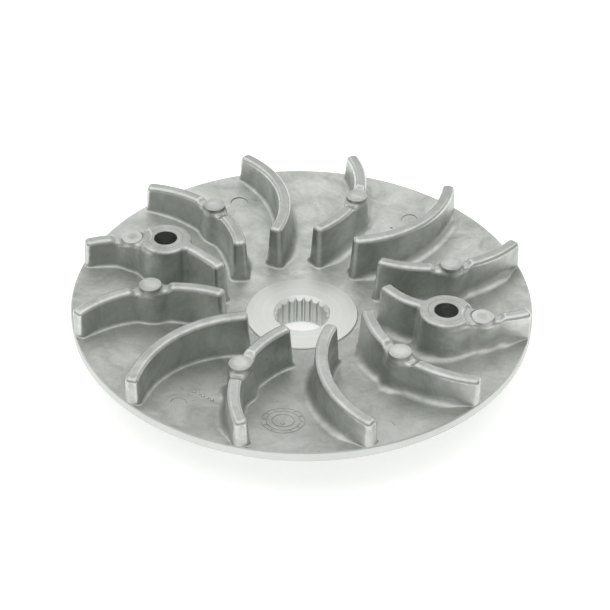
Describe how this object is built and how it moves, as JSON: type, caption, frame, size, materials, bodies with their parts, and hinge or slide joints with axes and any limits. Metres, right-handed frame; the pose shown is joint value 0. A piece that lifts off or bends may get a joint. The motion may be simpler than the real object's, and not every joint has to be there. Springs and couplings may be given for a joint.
{
  "type": "variator pulley face with fan",
  "caption": "Dished round pulley face for a belt variator, with a short splined hub, curved cooling-fan blades with round posts, and puller bosses on its back.",
  "frame": {"origin": "on the pulley's axis, at the hub's flat back face, which is the lowest point", "axes": "+Z along the axis from the belt side towards the fan; +X through the first puller hole"},
  "size_m": [0.133, 0.133, 0.0244],
  "materials": {
    "cast_aluminium": "as die-cast, satin grey with flow marks; rim and belt face machined",
    "machined_aluminium": "fine turned, bright"
  },
  "bodies": {
    "root": {"pulley_plate": "cast_aluminium", "splined_hub": "machined_aluminium", "inner_vane_01": "cast_aluminium", "puller_boss_01": "cast_aluminium", "ejector_post_01": "cast_aluminium", "outer_vane_01": "cast_aluminium", "inner_vane_02": "cast_aluminium", "ejector_post_02": "cast_aluminium", "outer_vane_02": "cast_aluminium", "fan_blade_03": "cast_aluminium", "inner_vane_04": "cast_aluminium", "ejector_post_04": "cast_aluminium", "outer_vane_04": "cast_aluminium", "fan_blade_05": "cast_aluminium", "inner_vane_06": "cast_aluminium", "ejector_post_06": "cast_aluminium", "outer_vane_06": "cast_aluminium", "inner_vane_07": "cast_aluminium", "puller_boss_07": "cast_aluminium", "ejector_post_07": "cast_aluminium", "outer_vane_07": "cast_aluminium", "inner_vane_08": "cast_aluminium", "ejector_post_08": "cast_aluminium", "outer_vane_08": "cast_aluminium", "fan_blade_09": "cast_aluminium", "inner_vane_10": "cast_aluminium", "ejector_post_10": "cast_aluminium", "outer_vane_10": "cast_aluminium", "fan_blade_11": "cast_aluminium", "inner_vane_12": "cast_aluminium", "ejector_post_12": "cast_aluminium", "outer_vane_12": "cast_aluminium"}
  },
  "joints": []
}
